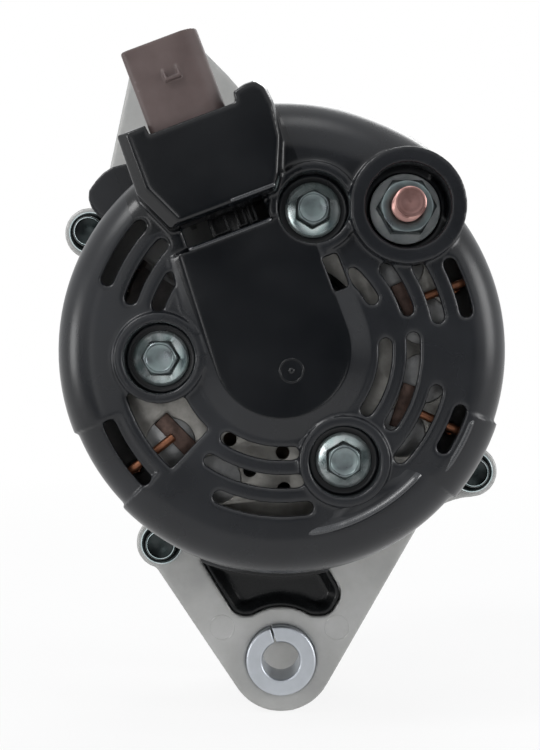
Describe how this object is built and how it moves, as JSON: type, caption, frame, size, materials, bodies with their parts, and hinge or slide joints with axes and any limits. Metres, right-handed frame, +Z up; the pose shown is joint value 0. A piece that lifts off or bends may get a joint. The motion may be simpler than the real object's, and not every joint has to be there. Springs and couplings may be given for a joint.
{
  "type": "car alternator",
  "caption": "Belt-driven car alternator with ribbed pulley, cast frames with pivot and adjusting ears, moulded rear cover, battery stud and tilted regulator connector.",
  "frame": {"origin": "on the rotor axis, midway across the ribs of the pulley", "axes": "+Y along the rotor axis towards the pulley, -Y towards the rear cover; +Z up, away from the lower pivot ear; +X to the right seen from the rear cover"},
  "size_m": [0.1184, 0.1535, 0.1957],
  "materials": {
    "cast_aluminium": "sand-cast satin",
    "black_plastic": "moulded, slightly glossy",
    "brown_plastic": "moulded satin",
    "zinc_steel": "zinc plated",
    "copper_stud": "copper plated",
    "bright_steel": "machined",
    "dark_steel": "lacquered laminations",
    "pressed_steel": "pressed sheet",
    "sink_metal": "pressed satin",
    "copper_wire": "enamelled wire",
    "copper_strip": "tinned strip",
    "dark_resin": "moulded",
    "amber_resin": "moulded",
    "carbon": "pressed carbon",
    "seal_rubber": "matt"
  },
  "bodies": {
    "housing": {"battery_collar": "zinc_steel", "battery_insulator": "dark_resin", "battery_nut": "zinc_steel", "battery_stud": "copper_stud", "bearing_retainer": "pressed_steel", "brush_holder": "dark_resin", "brush_spring_a": "bright_steel", "brush_spring_b": "bright_steel", "connector_pins": "copper_strip", "connector_shell": "brown_plastic", "cover_bolts": "zinc_steel", "drive_end_frame": "cast_aluminium", "front_bearing_outer_race": "bright_steel", "front_bearing_shields": "pressed_steel", "negative_diodes": "pressed_steel", "negative_heat_sink": "sink_metal", "phase_terminals": "copper_strip", "positive_diodes": "pressed_steel", "positive_heat_sink": "sink_metal", "rear_bearing_outer_race": "bright_steel", "rear_bearing_shields": "pressed_steel", "rear_cover": "black_plastic", "rear_frame": "cast_aluminium", "regulator": "dark_resin", "regulator_screws": "zinc_steel", "retainer_screws": "zinc_steel", "slip_ring_seal": "seal_rubber", "stator_core": "dark_steel", "stator_leads": "copper_wire", "stator_winding": "copper_wire", "terminal_board": "amber_resin", "through_bolts": "zinc_steel"},
    "rotor": {"rotor_shaft": "bright_steel", "front_pole": "dark_steel", "rear_pole": "dark_steel", "field_coil": "copper_wire", "coil_bobbin": "amber_resin", "slip_rings": "copper_strip", "slip_ring_moulding": "amber_resin", "front_fan": "pressed_steel", "rear_fan": "pressed_steel", "front_bearing_inner_race": "bright_steel", "rear_bearing_inner_race": "bright_steel", "shaft_spacer": "bright_steel", "pulley": "bright_steel", "pulley_nut": "zinc_steel"},
    "front_ball_set": {"front_bearing_balls": "bright_steel", "front_bearing_cage": "amber_resin"},
    "rear_ball_set": {"rear_bearing_balls": "bright_steel", "rear_bearing_cage": "amber_resin"},
    "brush_a": {"brush_a": "carbon"},
    "brush_b": {"brush_b": "carbon"},
    "pivot_sleeve": {"pivot_sleeve": "zinc_steel"}
  },
  "joints": [
    {"name": "rotor_spin", "type": "hinge", "parent": "housing", "child": "rotor", "pos_m": [0, 0, 0], "axis": [0, 1, 0], "continuous": true},
    {"name": "front_balls_orbit", "type": "hinge", "parent": "housing", "child": "front_ball_set", "pos_m": [0, -0.026, 0], "axis": [0, 1, 0], "continuous": true},
    {"name": "rear_balls_orbit", "type": "hinge", "parent": "housing", "child": "rear_ball_set", "pos_m": [0, -0.0985, 0], "axis": [0, 1, 0], "continuous": true},
    {"name": "brush_a_slide", "type": "slide", "parent": "housing", "child": "brush_a", "axis": [-0.3518, 0, 0.9361], "range_m": [0, 0.005], "stiffness_N_per_m": 300, "springref_m": -0.006, "deforming": ["brush_spring_a"]},
    {"name": "brush_b_slide", "type": "slide", "parent": "housing", "child": "brush_b", "axis": [-0.3518, 0, 0.9361], "range_m": [0, 0.005], "stiffness_N_per_m": 300, "springref_m": -0.006, "deforming": ["brush_spring_b"]},
    {"name": "pivot_sleeve_slide", "type": "slide", "parent": "housing", "child": "pivot_sleeve", "axis": [0, 1, 0], "range_m": [0, 0.0025]}
  ],
  "couplings": [
    {"joint": "front_balls_orbit", "follows": "rotor_spin", "ratio": 0.36359},
    {"joint": "rear_balls_orbit", "follows": "rotor_spin", "ratio": 0.38}
  ]
}
